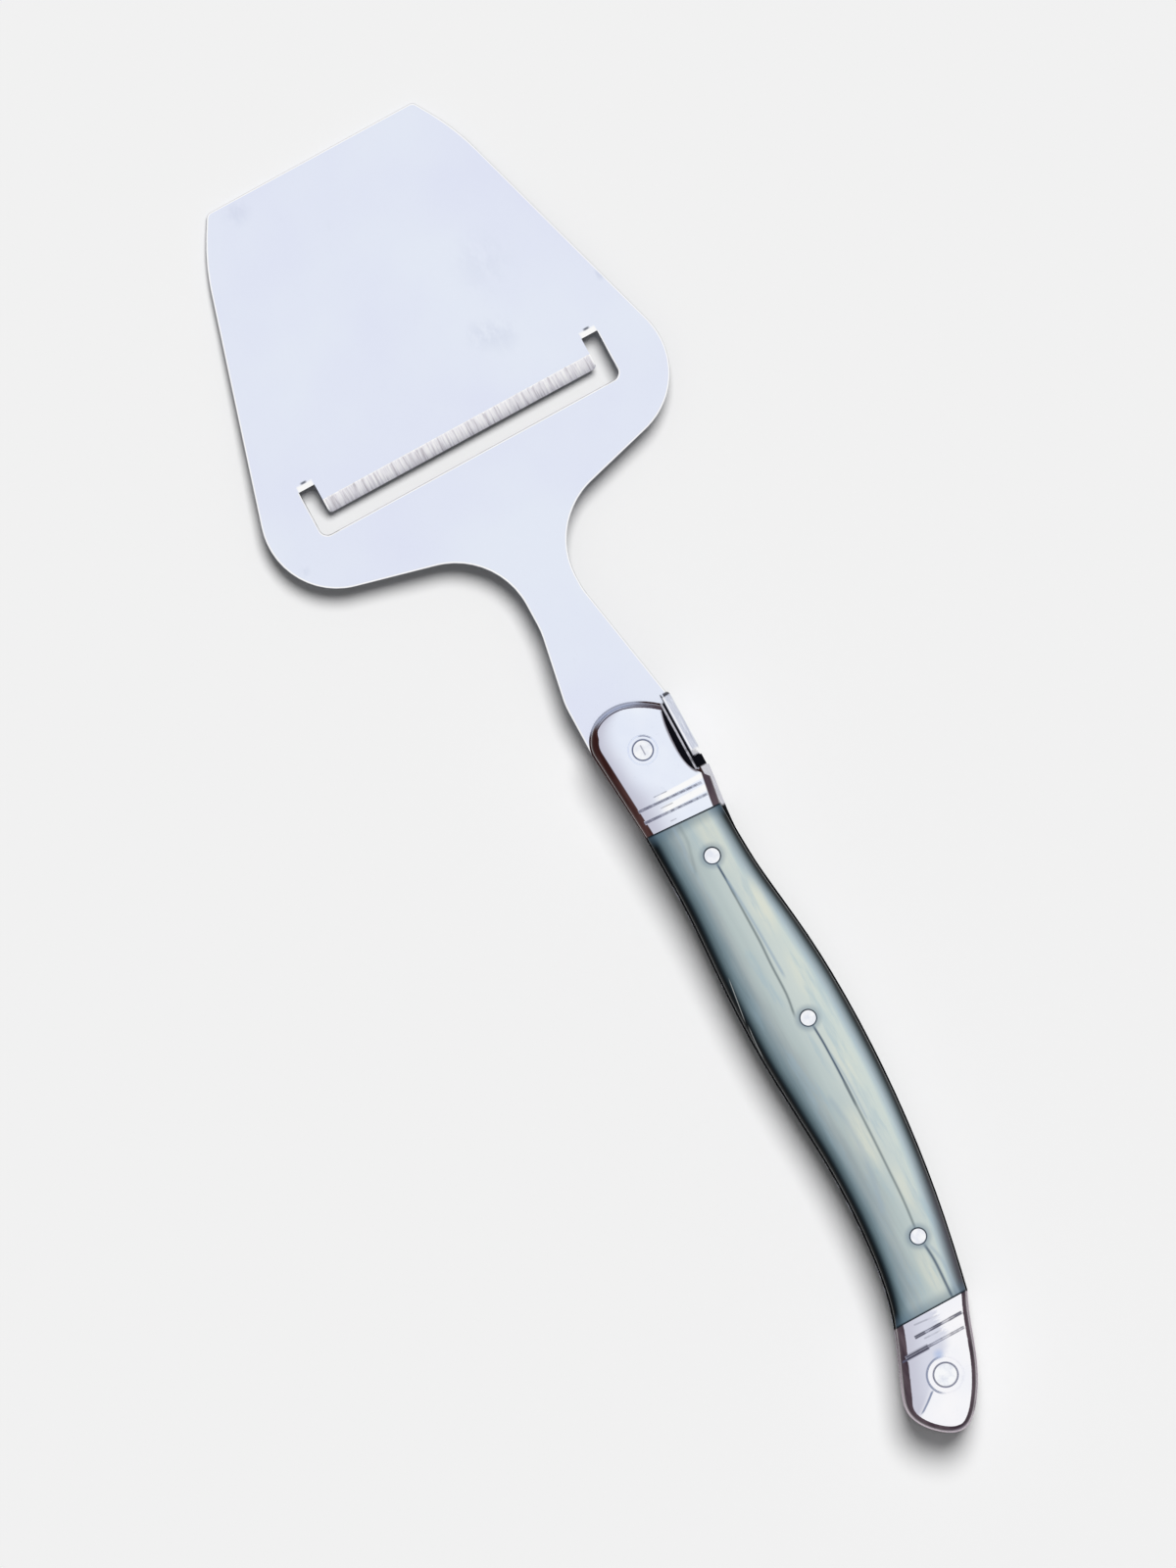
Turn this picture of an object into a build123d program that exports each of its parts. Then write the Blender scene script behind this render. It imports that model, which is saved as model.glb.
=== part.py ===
from build123d import *
from math import atan2, cos, pi, radians, sin, tan
import os

# Cheese slicer: a steel plate with a cutting slot, on a curved handle of two scales between four bolsters.
# It lies on its back as on a table. X runs along the tool, with the plate's front edge at +X. Y runs
# across it, and the plate is even about Y = 0. The belly of the handle faces +Y and its back faces -Y.
# The origin is under the middle of the tool, on the table. Depths are measured back from the front edge.

# Layers of the handle
sheet = 1.3
liner_thickness = 1.0
handle_thickness = 12.0
liner_lip = 0.3

# Lengths along the tool
blade_reach = 98.1
front_bolster_length = 20.6
grip_length = 85.6
rear_bolster_length = 18.6

# Plate: corners of its outline as shares of the blade's reach and the plate's width, and their radii
plate_width = 75.6
front_edge_share = 0.484
front_corner_radius = 1.0
bow_shares = (0.068, 0.589)
bow_radius = 36.0
shoulder_share = 0.603
shoulder_radius = 12.0
edge_break = 0.35

# Neck: it stands towards the handle's back, and flares into the handle at shares of the blade's reach
neck_share = 0.692
neck_width = 9.0
neck_offset = -0.8
cove_share = 1.077
neck_bend_radius = 12.0
belly_flare_shares = (0.839, 0.961)
back_flare_share = 0.811

# Slot and the cutting tongue, which is pressed down and ground on top
slot_share = 0.543
slot_width = 52.9
slot_corner_radius = 1.35
slot_gap = 3.0
leg_width = 2.7
leg_length = 8.1
leg_lip_length = 1.0
leg_lip_drop = 0.4
tongue_run = 6.1
tongue_press = 1.2
tongue_corner_radius = 0.6
grind_width = 2.4
cutting_edge = 0.2

# The sheet bends in the neck, so that the plate slopes down to the table
bend_share = 0.897
bend_radius = 60.0

# Front bolster: round its nose from back to belly, and along its scooped back, as shares of length and width
front_bolster_width = 12.75
bolster_round = 1.5
seam_tilt = 3.2
nose_shares = (
    (0.16, -0.565),
    (0.07, -0.357),
    (0.012, -0.082),
    (0.052, 0.247),
    (0.145, 0.395),
    (0.262, 0.443),
)
scoop_shares = (
    (0.311, -0.504),
    (0.422, -0.489),
    (0.534, -0.483),
    (0.612, -0.494),
    (0.7, -0.545),
    (0.77, -0.63),
)
heel_shares = (0.81, -0.685)
front_pin_shares = (0.392, -0.11)
front_pin_radius = 1.55
front_ring_radius = 2.3
front_groove_shares = (0.8, 0.897)
front_groove_end_shares = (-0.55, 0.3)

# Grip: its two edges at each station along it, as shares of its length and width, and its low crown
grip_width = 15.9
station_shares = (-0.013, 0.06, 0.135, 0.275, 0.415, 0.555, 0.695, 0.835, 0.93, 1.0)
belly_shares = (0.284, 0.28, 0.277, 0.312, 0.333, 0.3, 0.259, 0.28, 0.345, 0.45)
back_shares = (-0.495, -0.508, -0.528, -0.618, -0.665, -0.658, -0.605, -0.506, -0.412, -0.333)
least_crown_share = 0.06
crown_rise = 0.8
crown_round = 2.8
end_round = 1.1
scale_pin_radius = 1.25
scale_pin_shares = {"front": (0.083, -0.189), "middle": (0.426, -0.255), "rear": (0.871, -0.177)}

# Rear bolster: round its butt from belly to back, as shares of its length and width
rear_bolster_width = 17.4
butt_belly_shares = ((0.22, 0.5), (0.46, 0.606), (0.655, 0.664), (0.905, 0.518))
butt_back_shares = ((1.0, 0.31), (0.83, 0.085), (0.42, -0.13))
rear_pin_shares = (0.535, 0.216)
rear_pin_radius = 1.85
rear_ring_radius = 2.85
rear_groove_shares = (0.14, 0.258)
rear_groove_end_shares = ((-0.18, 0.3), (-0.135, 0.46))

# Grooves, pins and their fits
groove_radius = 0.22
ring_groove_radius = 0.1
pin_clearance = 0.02
pin_rim = 0.2
pin_edge_round = 0.15
driver_slot_length = 1.8
driver_slot_width = 0.25
driver_slot_depth = 0.2

# Back spring and the plain bar on the back beside the front bolster
spring_width = 2.5
spring_toe_rise = 1.65
spring_toe_flat = 1.9
spring_toe_gap = 1.9
spring_ledge_reach = 1.4
spring_ledge_height = 0.65
tang_rise = 1.15
head_setback = 1.8
head_length = 11.1
head_seat = 7.8
head_thickness = 1.55
head_width = 6.0
head_corner_radius = 2.2
head_edge_round = 0.5

# How far cuts run past the piece that they cut
overrun = 20.0

# Places worked out from the sizes above
overall_length = blade_reach + front_bolster_length + grip_length + rear_bolster_length + liner_lip
tip_x = overall_length / 2
nose_x = tip_x - blade_reach
grip_x = nose_x - front_bolster_length
rear_x = grip_x - grip_length
middle_z = handle_thickness / 2
sheet_bottom_z = middle_z - sheet / 2
sheet_top_z = middle_z + sheet / 2
liner_top_z = sheet_top_z + liner_thickness
scale_height = handle_thickness - liner_top_z
bend_depth = bend_share * blade_reach
slope = atan2(sheet_bottom_z, bend_depth)
slot_depth = slot_share * blade_reach
tongue_width = slot_width - 2 * leg_width
tongue_depth = slot_depth - slot_gap
leg_end_depth = slot_depth - leg_length
leg_end_x = tip_x - leg_end_depth
hinge_depth = tongue_depth - tongue_run
cove_radius = cove_share * (back_flare_share - neck_share) * blade_reach
tilt_cos = cos(radians(seam_tilt))
tilt_sin = sin(radians(seam_tilt))
seam = Plane(origin=(grip_x, 0, 0), x_dir=(tilt_sin, tilt_cos, 0), z_dir=(tilt_cos, -tilt_sin, 0))
flip = Plane.XY.offset(middle_z)


def plate_bottom(depth):
    """Height of the sloping plate's underside at a depth behind its front edge."""
    return depth * tan(slope)


def plate_top(depth):
    """Height of the sloping plate's upper side at a depth behind its front edge."""
    return plate_bottom(depth) + sheet / cos(slope)


def plate_point(reach_share, width_share):
    """Corner of the plate's plan from its shares of the blade's reach and the plate's width."""
    return (tip_x - reach_share * blade_reach, width_share * plate_width / 2)


def neck_point(reach_share, side):
    """Point on one side of the neck, at its share of the blade's reach."""
    return (tip_x - reach_share * blade_reach, neck_offset + side * neck_width / 2)


def front_point(share):
    """Point of the front bolster's plan from its shares of length and width."""
    return (nose_x - share[0] * front_bolster_length, share[1] * front_bolster_width)


def rear_point(share):
    """Point of the rear bolster's plan from its shares of length and width."""
    return (rear_x - share[0] * rear_bolster_length, share[1] * rear_bolster_width)


def grip_point(share):
    """Point of the grip's plan from its shares of length and width."""
    return (grip_x - share[0] * grip_length, share[1] * grip_width)


front_pin_place = front_point(front_pin_shares)
rear_pin_place = rear_point(rear_pin_shares)
scale_pin_places = {name: grip_point(share) for name, share in scale_pin_shares.items()}
nose_points = [front_point(share) for share in nose_shares]
heel_point = front_point(heel_shares)
scoop_points = [nose_points[0], *[front_point(share) for share in scoop_shares], heel_point]
belly_points = [grip_point(share) for share in zip(station_shares, belly_shares)]
back_points = [grip_point(share) for share in zip(station_shares, back_shares)]
butt_points = [rear_point(share) for share in (*butt_belly_shares, *butt_back_shares)]
head_x = nose_x - head_setback
toe_x = head_x - head_length - spring_toe_gap
spring_toe_height = head_seat + spring_toe_rise
edge_x = tip_x - tongue_depth


def grown(points, lip, side):
    """Points moved out by the lip, square to the line through their neighbours."""
    moved = []
    for here, before, after in zip(points, [points[0], *points], [*points[1:], points[-1]]):
        along = (Vector(after) - Vector(before)).normalized()
        moved.append((here[0] + side * lip * along.Y, here[1] - side * lip * along.X))
    return moved


def draw_nose(lip):
    """Round end of the front bolster, from its back to its belly."""
    return Spline(*grown(nose_points, lip, 1))


def draw_scoop(lip):
    """Hollow back side of the front bolster, from its nose to its heel."""
    return Spline(*grown(scoop_points, lip, -1))


def draw_belly(lip):
    """Belly of the grip, from front to rear."""
    return Spline(*grown(belly_points, lip, 1))


def draw_back(lip):
    """Back of the grip, from front to rear."""
    return Spline(*grown(back_points, lip, -1))


def draw_butt(lip):
    """Outline of the rear bolster behind its seam, from its belly round the butt to its back."""
    belly_start = grown(belly_points, lip, 1)[-1]
    back_end = grown(back_points, lip, -1)[-1]
    middle = grown([belly_points[-1], *butt_points, back_points[-1]], lip, 1)[1:-1]
    return Spline(belly_start, *middle, back_end)


# Plans of the handle's pieces, seen from above
nose_end = grown(nose_points, liner_lip, 1)[-1]
with BuildSketch() as front_bolster_plan:
    with BuildLine():
        nose = draw_nose(0)
        seam_end_x = grip_x - bolster_round
        belly_end = (seam_end_x, belly_points[0][1])
        back_start = (seam_end_x, back_points[0][1])
        Polyline(nose @ 1, belly_end, back_start, heel_point, nose @ 0)
    make_face()

with BuildSketch() as scoop_plan:
    with BuildLine():
        scoop = draw_scoop(0)
        scoop_floor = -front_bolster_width
        Polyline(scoop @ 1, ((scoop @ 1).X, scoop_floor), ((scoop @ 0).X, scoop_floor), scoop @ 0)
    make_face()

with BuildSketch() as rear_bolster_plan:
    with BuildLine():
        draw_butt(0)
        Line(belly_points[-1], back_points[-1])
    make_face()

with BuildSketch() as liner_plan:
    with BuildLine():
        nose = draw_nose(liner_lip)
        belly = draw_belly(liner_lip)
        back = draw_back(liner_lip)
        scoop = draw_scoop(liner_lip)
        draw_butt(liner_lip)
        Line(nose @ 1, belly @ 0)
        Line(back @ 0, scoop @ 1)
        Line(scoop @ 0, nose @ 0)
    make_face()

with BuildSketch() as spring_plan:
    with BuildLine():
        toe_knee = (toe_x - spring_toe_flat, edge_break / 2 - spring_toe_height)
        outer = Spline((toe_x, -spring_toe_height), toe_knee, *grown(back_points, liner_lip, -1)[1:])
        inner = Spline(*grown(back_points, liner_lip - spring_width, -1)[1:])
        Line(outer @ 1, inner @ 1)
        Polyline(outer @ 0, (toe_x, (inner @ 0).Y), inner @ 0)
    make_face()

with BuildSketch() as tang_plan:
    with BuildLine():
        belly = draw_belly(liner_lip)
        inner = Spline(*grown(back_points, liner_lip - spring_width, -1)[1:])
        draw_butt(liner_lip)
        Line(nose_end, belly @ 0)
        Line(grown(back_points, liner_lip, -1)[-1], inner @ 1)
        toe_inner = (toe_x, (inner @ 0).Y)
        Polyline(inner @ 0, toe_inner, (toe_x, -head_seat), (nose_end[0], -head_seat), nose_end)
    make_face()

with BuildSketch() as plate_plan:
    with BuildLine():
        plate_side = FilletPolyline(
            nose_end,
            (tip_x - belly_flare_shares[1] * blade_reach, nose_end[1]),
            neck_point(belly_flare_shares[0], 1),
            neck_point(neck_share, 1),
            plate_point(shoulder_share, 1),
            plate_point(*bow_shares),
            plate_point(0, front_edge_share),
            plate_point(0, -front_edge_share),
            plate_point(bow_shares[0], -bow_shares[1]),
            plate_point(shoulder_share, -1),
            neck_point(neck_share, -1),
            neck_point(back_flare_share, -1),
            (head_x, -head_seat - tang_rise),
            radius=(
                neck_bend_radius,
                neck_bend_radius,
                cove_radius,
                shoulder_radius,
                bow_radius,
                front_corner_radius,
                front_corner_radius,
                bow_radius,
                shoulder_radius,
                cove_radius,
                neck_bend_radius,
            ),
        )
        Polyline(plate_side @ 1, (head_x, -head_seat), (nose_end[0], -head_seat), nose_end)
    make_face()


def drill_all():
    """Holes for all five pins through the piece that is being made."""
    with Locations(*scale_pin_places.values()):
        Hole(radius=scale_pin_radius + pin_clearance)
    with Locations(front_pin_place):
        Hole(radius=front_pin_radius + pin_clearance)
    with Locations(rear_pin_place):
        Hole(radius=rear_pin_radius + pin_clearance)


def drill_from_top(place, radius):
    """Hole for a pin in the topmost layer, with its mouth opened a little."""
    with Locations((*place, handle_thickness)):
        CounterSinkHole(radius=radius + pin_clearance, counter_sink_radius=radius + pin_clearance + pin_rim)


def cut_groove(start, end, tilt):
    """Round-bottomed groove in the top of a bolster, between two points and tilted about Z."""
    middle = ((start[0] + end[0]) / 2, (start[1] + end[1]) / 2)
    shift = middle[1] * tan(radians(tilt))
    with Locations(Location((middle[0] + shift, middle[1], handle_thickness), (90, -tilt, 0))):
        Cylinder(radius=groove_radius, height=end[1] - start[1], mode=Mode.SUBTRACT)


def cut_ring(place, radius):
    """Shallow round-bottomed ring about a pin, in the top of a bolster."""
    with Locations((*place, handle_thickness)):
        Torus(major_radius=radius, minor_radius=ring_groove_radius, mode=Mode.SUBTRACT)


# Tongue: its root lies flush in the plate, its tip is pressed down and ground to the cutting edge
with BuildPart() as tongue:
    with BuildSketch(Plane.XZ):
        with BuildLine():
            root_x = tip_x - hinge_depth
            grind_x = tip_x - tongue_depth + grind_width
            press_slope = tongue_press / tongue_run
            grind_top = plate_top(tongue_depth - grind_width) - press_slope * (tongue_run - grind_width)
            edge_bottom = plate_bottom(tongue_depth) - tongue_press
            Polyline(
                (root_x, plate_top(hinge_depth)),
                (grind_x, grind_top),
                (edge_x, edge_bottom + cutting_edge),
                (edge_x, edge_bottom),
                (root_x, plate_bottom(hinge_depth)),
                close=True,
            )
        make_face()
    extrude(amount=tongue_width / 2, both=True)
    with BuildSketch() as tongue_plan:
        with Locations((edge_x, 0)):
            Rectangle(tongue_run, tongue_width, align=(Align.MIN, Align.CENTER))
        fillet(tongue_plan.vertices().group_by(Axis.X)[0], radius=tongue_corner_radius)
    extrude(amount=handle_thickness, mode=Mode.INTERSECT)

# Blade: plate, neck and tang in one sheet
with BuildPart() as blade:
    with BuildSketch(Plane.XZ) as side:
        bend_x = tip_x - bend_depth
        with BuildLine():
            Polyline(
                (-overall_length, sheet_bottom_z),
                (bend_x, sheet_bottom_z),
                (tip_x + overrun, plate_bottom(-overrun)),
                (tip_x + overrun, plate_top(-overrun)),
                (bend_x + sheet * tan(slope / 2), sheet_top_z),
                (-overall_length, sheet_top_z),
                close=True,
            )
        make_face()
        bends = side.vertices().sort_by_distance((bend_x, 0, middle_z))[:2].sort_by(Axis.Z)
        fillet(bends[0], radius=bend_radius)
        fillet(bends[1], radius=bend_radius + sheet)
    extrude(amount=plate_width, both=True)
    with BuildSketch():
        add(plate_plan.sketch)
    extrude(amount=handle_thickness, mode=Mode.INTERSECT)
    with BuildSketch() as window:
        with Locations((tip_x - slot_depth, 0)):
            Rectangle(leg_length, slot_width, align=(Align.MIN, Align.CENTER))
        fillet(window.vertices().group_by(Axis.X)[0], radius=slot_corner_radius)
        with Locations((edge_x, 0)):
            Rectangle(tongue_run, tongue_width, align=(Align.MIN, Align.CENTER))
    extrude(amount=handle_thickness, mode=Mode.SUBTRACT)
    plate_face = blade.faces().filter_by(Axis.Y, reverse=True).sort_by(SortBy.AREA)[-2:].sort_by(Axis.Z)[-1]
    outer_rim = plate_face.outer_wire().edges().sort_by(Axis.X)[1:]
    slot_edges = plate_face.inner_wires()[0].edges()
    slot_rim = slot_edges.filter_by_position(Axis.X, edge_x - slot_width, leg_end_x - edge_break)
    fillet(outer_rim + slot_rim, radius=edge_break)
    with BuildSketch(Plane.XZ):
        with BuildLine():
            leg_top = plate_top(leg_end_depth)
            Polyline(
                (leg_end_x, leg_top + leg_lip_drop),
                (leg_end_x + leg_lip_length, leg_top + leg_lip_drop),
                (leg_end_x + leg_lip_length, leg_top - leg_lip_length * tan(slope)),
                (leg_end_x, leg_top - leg_lip_drop),
                close=True,
            )
        make_face()
    extrude(amount=slot_width / 2, both=True, mode=Mode.SUBTRACT)
    add(tongue.part)
    with BuildSketch(Plane.XY.offset(sheet_bottom_z)):
        add(tang_plan.sketch)
    extrude(amount=sheet)
    drill_all()

# Liners: thin plates on both sides of the tang, with the handle's whole outline
with BuildPart() as liner_top:
    with BuildSketch(Plane.XY.offset(sheet_top_z)):
        add(liner_plan.sketch)
    extrude(amount=liner_thickness)
    drill_all()

with BuildPart() as liner_bottom:
    mirror(liner_top.part, about=flip)

# Back spring: bar between the liners, with a raised toe at its front and a low ledge on to the plain bar
with BuildPart() as back_spring:
    with BuildSketch(Plane.XY.offset(sheet_bottom_z)):
        add(spring_plan.sketch)
    extrude(amount=sheet)
    with BuildSketch(Plane.XY.offset(sheet_bottom_z)):
        with Locations((toe_x, -head_seat)):
            Rectangle(spring_toe_gap, spring_ledge_reach, align=(Align.MIN, Align.MAX))
    extrude(amount=spring_ledge_height)

# Plain bar that stands on the tang's back edge beside the front bolster
with BuildPart() as spring_head:
    with BuildSketch(Plane.XZ.offset(head_seat)):
        with Locations((head_x - head_length / 2, middle_z)):
            RectangleRounded(head_length, head_width, head_corner_radius)
    extrude(amount=head_thickness)
    fillet(spring_head.faces().sort_by(Axis.Y)[0].edges(), radius=head_edge_round)

# Front bolster: rounded on top except at the seam, scooped on its back side and grooved before the grip
with BuildPart() as front_bolster_top:
    with BuildSketch(Plane.XY.offset(liner_top_z)):
        add(front_bolster_plan.sketch)
    extrude(amount=scale_height)
    shoulders = front_bolster_top.faces().sort_by(Axis.Z)[-1].edges().sort_by(Axis.X)[1:]
    back_to_belly = shoulders.sort_by(Axis.Y)
    fillet([back_to_belly[0], *back_to_belly[-2:]], radius=bolster_round)
    with BuildSketch():
        add(scoop_plan.sketch)
    extrude(amount=handle_thickness + overrun, mode=Mode.SUBTRACT)
    split(bisect_by=seam, keep=Keep.TOP)
    for share in front_groove_shares:
        cut_groove(*[front_point((share, end_share)) for end_share in front_groove_end_shares], seam_tilt)
    cut_ring(front_pin_place, front_ring_radius)
    drill_from_top(front_pin_place, front_pin_radius)

with BuildPart() as front_bolster_bottom:
    mirror(front_bolster_top.part, about=flip)

# Scales: each station has an upright edge, a rounded shoulder and a low crown, and the stations are lofted
with BuildPart() as scale_top:
    for belly_place, back_place, station_share in zip(belly_points, back_points, station_shares):
        station = Plane(origin=(belly_place[0], 0, liner_top_z), x_dir=(0, 1, 0), z_dir=(1, 0, 0))
        crown_share = least_crown_share + (1 - least_crown_share) * sin(pi * abs(station_share))
        shoulder_height = scale_height - crown_share * crown_rise
        with BuildSketch(station) as section:
            with BuildLine():
                belly_top = (belly_place[1], shoulder_height)
                back_top = (back_place[1], shoulder_height)
                crest = ((belly_place[1] + back_place[1]) / 2, scale_height)
                ThreePointArc(back_top, crest, belly_top)
                Polyline(belly_top, (belly_place[1], 0), (back_place[1], 0), back_top)
            make_face()
            station_round = end_round + crown_share * (crown_round - end_round)
            fillet(section.vertices().group_by(Axis.Y)[-1], radius=station_round)
    loft()
    split(bisect_by=seam, keep=Keep.BOTTOM)
    for place in scale_pin_places.values():
        drill_from_top(place, scale_pin_radius)

with BuildPart() as scale_bottom:
    mirror(scale_top.part, about=flip)

# Rear bolster: rounded on top except at the seam, and grooved behind the grip
with BuildPart() as rear_bolster_top:
    with BuildSketch(Plane.XY.offset(liner_top_z)):
        add(rear_bolster_plan.sketch)
    extrude(amount=scale_height)
    shoulders = rear_bolster_top.faces().sort_by(Axis.Z)[-1].edges().sort_by(Axis.X)[:-1]
    fillet(shoulders, radius=bolster_round)
    for share, end_shares in zip(rear_groove_shares, rear_groove_end_shares):
        cut_groove(*[rear_point((share, end_share)) for end_share in end_shares], 0)
    cut_ring(rear_pin_place, rear_ring_radius)
    drill_from_top(rear_pin_place, rear_pin_radius)

with BuildPart() as rear_bolster_bottom:
    mirror(rear_bolster_top.part, about=flip)


def make_pin(place, radius):
    """Pin through all layers at a place in the plan, with softened ends."""
    with BuildPart() as pin:
        with BuildSketch():
            with Locations(place):
                Circle(radius)
        extrude(amount=handle_thickness)
        fillet(pin.edges().filter_by(GeomType.CIRCLE), radius=pin_edge_round)
    return pin


front_pin = make_pin(front_pin_place, front_pin_radius)

# The front pin ends in a short slot that runs along the tool
with BuildPart() as front_bolster_pin:
    add(front_pin.part)
    with BuildSketch(Plane.XY.offset(handle_thickness)):
        with Locations(front_pin_place):
            Rectangle(driver_slot_length, driver_slot_width)
    extrude(amount=-driver_slot_depth, mode=Mode.SUBTRACT)

pieces = {
    "blade": blade,
    "liner_top": liner_top,
    "liner_bottom": liner_bottom,
    "back_spring": back_spring,
    "spring_head": spring_head,
    "front_bolster_top": front_bolster_top,
    "front_bolster_bottom": front_bolster_bottom,
    "scale_top": scale_top,
    "scale_bottom": scale_bottom,
    "rear_bolster_top": rear_bolster_top,
    "rear_bolster_bottom": rear_bolster_bottom,
    "front_bolster_pin": front_bolster_pin,
    "rear_bolster_pin": make_pin(rear_pin_place, rear_pin_radius),
}
for name, place in scale_pin_places.items():
    pieces[f"scale_pin_{name}"] = make_pin(place, scale_pin_radius)

os.makedirs("parts", exist_ok=True)
for name, piece in pieces.items():
    piece.part.label = name
    export_step(piece.part, f"parts/{name}.step")
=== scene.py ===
import bpy
import math
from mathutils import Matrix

# Cheese slicer of polished steel, with horn-look resin scales. X runs along it towards the plate's front
# edge, Y across it towards the belly of the handle, and Z up. Lengths in the materials are in millimetres.

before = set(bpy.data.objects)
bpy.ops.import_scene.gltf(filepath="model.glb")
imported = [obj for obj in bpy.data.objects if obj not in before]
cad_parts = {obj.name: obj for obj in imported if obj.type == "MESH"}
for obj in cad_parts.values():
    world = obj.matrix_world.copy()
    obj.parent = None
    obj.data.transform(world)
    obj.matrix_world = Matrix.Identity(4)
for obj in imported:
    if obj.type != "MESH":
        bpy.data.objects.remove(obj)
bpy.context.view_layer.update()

# Camera, straight above the tool, turned so that the tool lies as in the picture
view_height = 0.2448
view_centre = (0.00487, 0.00863)
view_turn = math.radians(-118.6)
focus_height = 0.006
camera_distance = 3.5
sensor_size = 36.0

# Light: a broad soft key from over the top of the picture, and an even dim surround
key_reach = (0.36, -0.31, 1.0)
key_angle = math.radians(28)
key_strength = 2.89
surround_strength = 0.16
seen_strength = 0.95
floor_colour = (0.888, 0.888, 0.888)
floor_size = 6.0

# Places on the handle, in millimetres. Where two stand together, something fades in from one to the other,
# or lies between them.
stations = (-5.99, -12.24, -18.66, -30.64, -42.62, -54.61, -66.59, -78.58, -86.71, -92.7)
belly_line = (4.52, 4.45, 4.40, 4.96, 5.29, 4.77, 4.12, 4.45, 5.49, 7.16)
back_line = (-7.87, -8.08, -8.40, -9.83, -10.57, -10.46, -9.62, -8.05, -6.55, -5.29)
scale_pins = ((-14.2, -3.01), (-43.57, -4.05), (-81.66, -2.81))
front_pin = (5.42, -1.40)
rear_pin = (-102.65, 3.76)
grip_front = -7.1
grip_rear = -92.7
seam_lean = math.tan(math.radians(3.2))
rear_back_x = (-66.0, -84.0)
# The recess beside the bar on the back gets near-black painted shade, with a painted highlight line along it
recess_x = (-1.2, 10.4)
recess_y = (-9.5, -6.15)
recess_highlight_y = (-7.52, -7.2)
liner_recess_x = (-1.3, -1.1)
toe_x = (-8.0, -1.0)
toe_y = (-8.2, -8.0)

# Places on the bolsters, with the painted highlight bands beside the front grooves, the reach of the painted
# grey reflection, and the painted shade along the scoop and in the grooves
between_bolsters_x = (-40.0, -30.0)
rib_highlight_bands = ((-2.85, -2.0), (-4.85, -3.85))
rib_highlight_bands_y = (-0.8, 1.2)
reflection_turn_x = (2.0, -2.0)
reflection_streaks_x = (-98.5, -96.0)
butt_x = (-103.0, -106.0)
scoop_x = (-1.6, 9.5)
scoop_rise_z = (11.0, 11.3)
groove_rise_z = (11.3, 11.5)

# Marks about the bolster pins: rings, painted shade in arcs of the ring grooves, a painted reflection edge,
# a blue spot and painted shade in the driver's slot, and how near the pins the painted grey reflection and
# the painted dark reflection on the edges come
front_ring_radius = 1.54
rear_ring_radius = 1.8
front_arc_radius = 2.2
front_arc_x = (6.2, 6.8)
front_arc_y = (-1.5, -2.2)
rear_arc_radius = 2.95
rear_arc_x = (-105.4, -104.4)
rear_arc_y = (2.6, 4.4)
arc_end = (-99.3, 3.2)
reflection_edge_x = (-106.2, -103.9)
slot_half_length = 0.85
slot_half_width = 0.1
reflection_from_rear_pin = (2.7, 3.0)
edge_from_front_pin = (2.6, 2.7)
edge_from_rear_pin = (3.1, 3.2)

# Places on the bar at the back, for its painted shade, highlights and shadow, and where the painted shade
# and reflection on the liners' lip change
bar_tip_shade_x = (11.1, 11.25)
bar_heel_highlight_x = (2.1, 1.5)
bar_highlight_y = (-8.25, -8.0)
bar_foot_shadow_y = (-7.98, -7.88)
lip_nose_x = (10.8, 12.3)
lip_nose_y = (-5.5, -3.5)
lip_butt_x = -108.0
lip_belly_y = (1.0, 3.5)

# Places on the plate: ends of the slot's legs with their painted highlights, painted shade beside them,
# and the ground strip on the tongue
leg_x = (66.2, 67.25)
leg_y = (23.9, 26.5)
bend_shade_x = (67.3, 67.65)
bend_shade_y = (24.7, 25.6)
strip_front = 63.35
strip_rear = (60.9, 61.1)
strip_end = (23.4, 23.7)

# Length and width of the tool over which the materials' lines are mapped
map_x = (-115.0, 115.0)
map_y = (-40.0, 40.0)

# Tones that more than one material has: white, the black of painted shade in the recess, the grey of the
# dark rings, and the grey of painted reflection round the nose
white = (1.0, 1.0, 1.0)
painted_shade_black = (0.005, 0.005, 0.008)
ring_grey = (0.17, 0.18, 0.25)
nose_reflection_grey = (0.39, 0.42, 0.53)

# Smudges on the plate: place, reach and strength
smudges = (
    ((109.6, 14.2), 3.2, 0.3),
    ((74.5, -10.2), 3.6, 0.25),
    ((73.0, -13.0), 4.2, 0.25),
    ((84.3, -16.0), 7.0, 0.16),
    ((74.0, -31.2), 1.4, 0.6),
    ((55.2, 31.6), 1.3, 0.4),
)

# Creamier patches of the resin: how much longer than wide, then place, reach across the handle and strength
patch_stretch = 3.2
cream_patches = (
    ((-11.5, -4.4), 2.4, 0.5),
    ((-24.5, -5.9), 2.2, 0.75),
    ((-37.0, -6.4), 2.0, 0.6),
    ((-52.0, -6.0), 2.0, 0.6),
    ((-64.5, -2.6), 2.4, 0.7),
    ((-74.0, -4.4), 1.8, 0.5),
    ((-87.2, -1.9), 2.0, 0.6),
)

# Tones of the resin by the share of a depth from the belly's edge; the darkening at the edge is partly the
# resin's own tone and partly painted shade
belly_depth = 15.0
belly_tones = (
    (0.0, (0.004, 0.005, 0.005)),
    (0.035, (0.005, 0.009, 0.012)),
    (0.055, (0.021, 0.035, 0.045)),
    (0.09, (0.098, 0.145, 0.168)),
    (0.14, (0.190, 0.258, 0.292)),
    (0.193, (0.280, 0.345, 0.372)),
    (0.247, (0.350, 0.410, 0.425)),
    (0.3, (0.415, 0.480, 0.485)),
    (0.353, (0.455, 0.530, 0.530)),
    (0.453, (0.505, 0.580, 0.575)),
    (0.653, (0.585, 0.650, 0.625)),
    (0.8, (0.600, 0.670, 0.635)),
    (1.0, (0.600, 0.675, 0.650)),
)
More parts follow.
